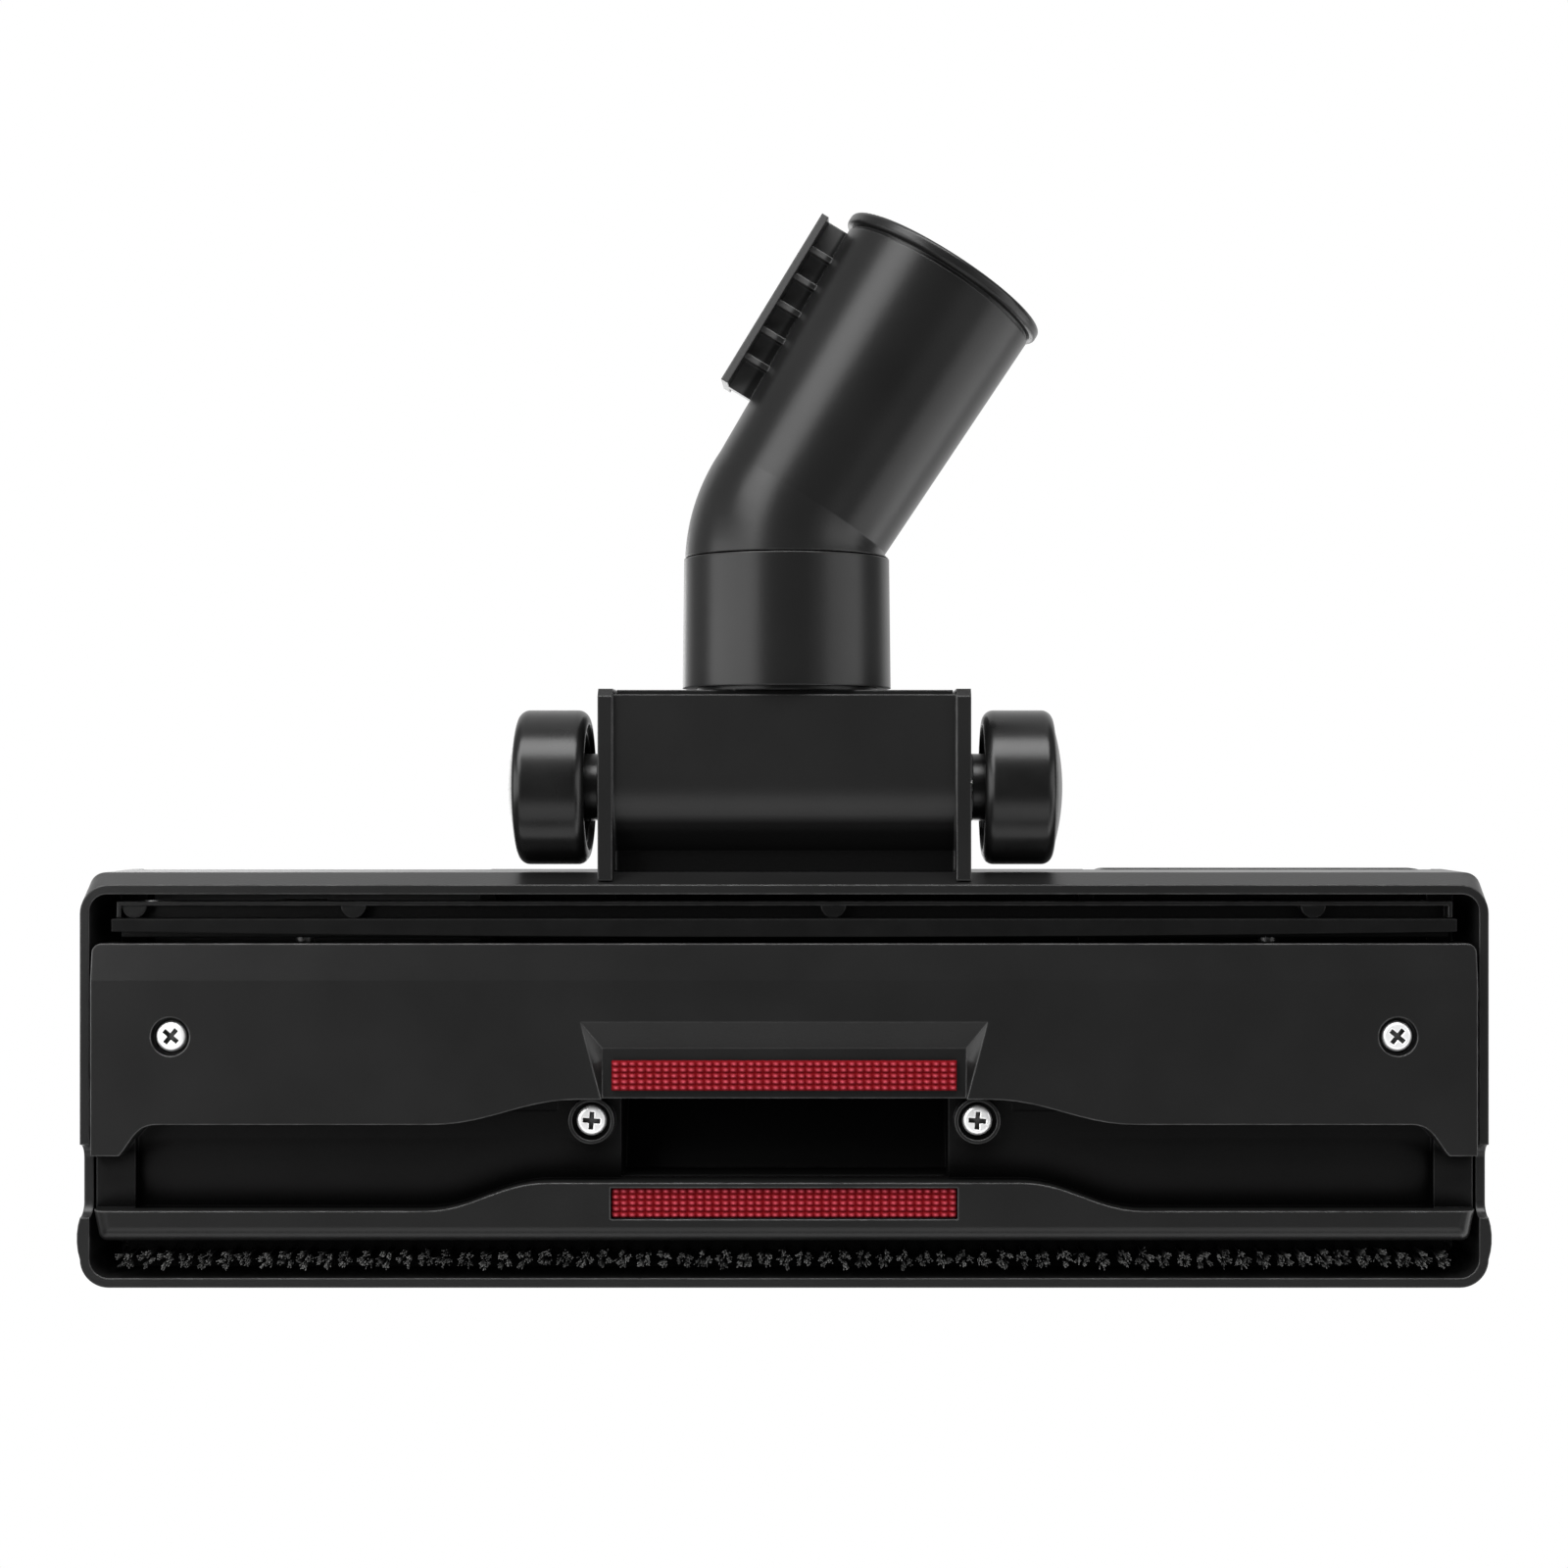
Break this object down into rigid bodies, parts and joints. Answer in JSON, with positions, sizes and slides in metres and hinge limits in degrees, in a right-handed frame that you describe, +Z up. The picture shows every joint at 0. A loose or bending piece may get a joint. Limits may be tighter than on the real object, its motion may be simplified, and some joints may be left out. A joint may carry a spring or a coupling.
{
  "type": "vacuum floor brush head",
  "caption": "Wide flat vacuum floor head with sole plate, suction mouth, lint strips, drop-down brush, foot pedals, rear wheels, tilting neck and swivelling wand elbow.",
  "frame": {"origin": "on the sole face of the base plate, on the centre line, between the rear edge and the mouth", "axes": "+X to the left wheel along the wide head, +Y from the front edge back to the neck, +Z up from the floor"},
  "size_m": [0.2712, 0.2099, 0.045],
  "materials": {
    "shell_plastic": "fine satin texture",
    "sole_plastic": "smooth satin",
    "neck_plastic": "smooth satin sheen",
    "inner_plastic": "plain moulded",
    "wheel_plastic": "smooth satin",
    "wheel_tyre": "smooth soft rubber",
    "seal_rubber": "matte rubber",
    "red_velour": "short directional pile",
    "steel": "bright zinc",
    "bristle": "dark tufts"
  },
  "bodies": {
    "head": {"top_cover": "shell_plastic", "base_plate": "sole_plastic", "air_duct": "inner_plastic", "neck_housing": "shell_plastic", "drum_wiper": "seal_rubber", "front_lint_strip": "red_velour", "rear_lint_strip": "red_velour", "outer_screws": "steel", "inner_screws": "steel", "wheel_axles": "steel", "pedal_pins": "steel"},
    "neck": {"neck_lower_shell": "neck_plastic", "neck_upper_shell": "neck_plastic", "swivel_collar": "neck_plastic", "swivel_seal": "seal_rubber"},
    "elbow": {"elbow_tube": "neck_plastic", "swivel_retainer": "inner_plastic"},
    "left_wheel": {"left_wheel_hub": "wheel_plastic", "left_wheel_tyre": "wheel_tyre", "left_hub_cap": "wheel_plastic"},
    "right_wheel": {"right_wheel_hub": "wheel_plastic", "right_wheel_tyre": "wheel_tyre", "right_hub_cap": "wheel_plastic"},
    "left_pedal": {"left_pedal": "shell_plastic"},
    "right_pedal": {"right_pedal": "shell_plastic"},
    "slide_bar": {"slide_bar": "inner_plastic"},
    "brush_frame": {"front_brush_carrier": "inner_plastic", "front_bristles": "bristle", "link_rods": "steel", "rear_lip_holder": "inner_plastic", "rear_lip": "seal_rubber"}
  },
  "joints": [
    {"name": "neck_tilt", "type": "hinge", "parent": "head", "child": "neck", "pos_m": [0, 0.0426, 0.023], "axis": [1, 0, 0], "range_deg": [0, 72]},
    {"name": "elbow_swivel", "type": "hinge", "parent": "neck", "child": "elbow", "pos_m": [0, 0.08, 0.023], "axis": [0, 1, 0], "continuous": true},
    {"name": "left_wheel_spin", "type": "hinge", "parent": "head", "child": "left_wheel", "pos_m": [0, 0.0405, 0.01515], "axis": [1, 0, 0], "continuous": true},
    {"name": "right_wheel_spin", "type": "hinge", "parent": "head", "child": "right_wheel", "pos_m": [0, 0.0405, 0.01515], "axis": [1, 0, 0], "continuous": true},
    {"name": "left_pedal_rock", "type": "hinge", "parent": "head", "child": "left_pedal", "pos_m": [0, -0.006, 0.022], "axis": [-1, 0, 0], "range_deg": [0, 6.47]},
    {"name": "right_pedal_rock", "type": "hinge", "parent": "head", "child": "right_pedal", "pos_m": [0, -0.006, 0.022], "axis": [1, 0, 0], "range_deg": [0, 6.47]},
    {"name": "slide_bar_shift", "type": "slide", "parent": "head", "child": "slide_bar", "axis": [-1, 0, 0], "range_m": [0, 0.004]},
    {"name": "brush_drop", "type": "slide", "parent": "head", "child": "brush_frame", "axis": [0, 0, -1], "range_m": [0, 0.004]}
  ],
  "couplings": [
    {"joint": "right_pedal_rock", "follows": "left_pedal_rock", "ratio": 1},
    {"joint": "slide_bar_shift", "follows": "left_pedal_rock", "m_per_rad": 0.035425},
    {"joint": "brush_drop", "follows": "left_pedal_rock", "m_per_rad": 0.035425}
  ]
}
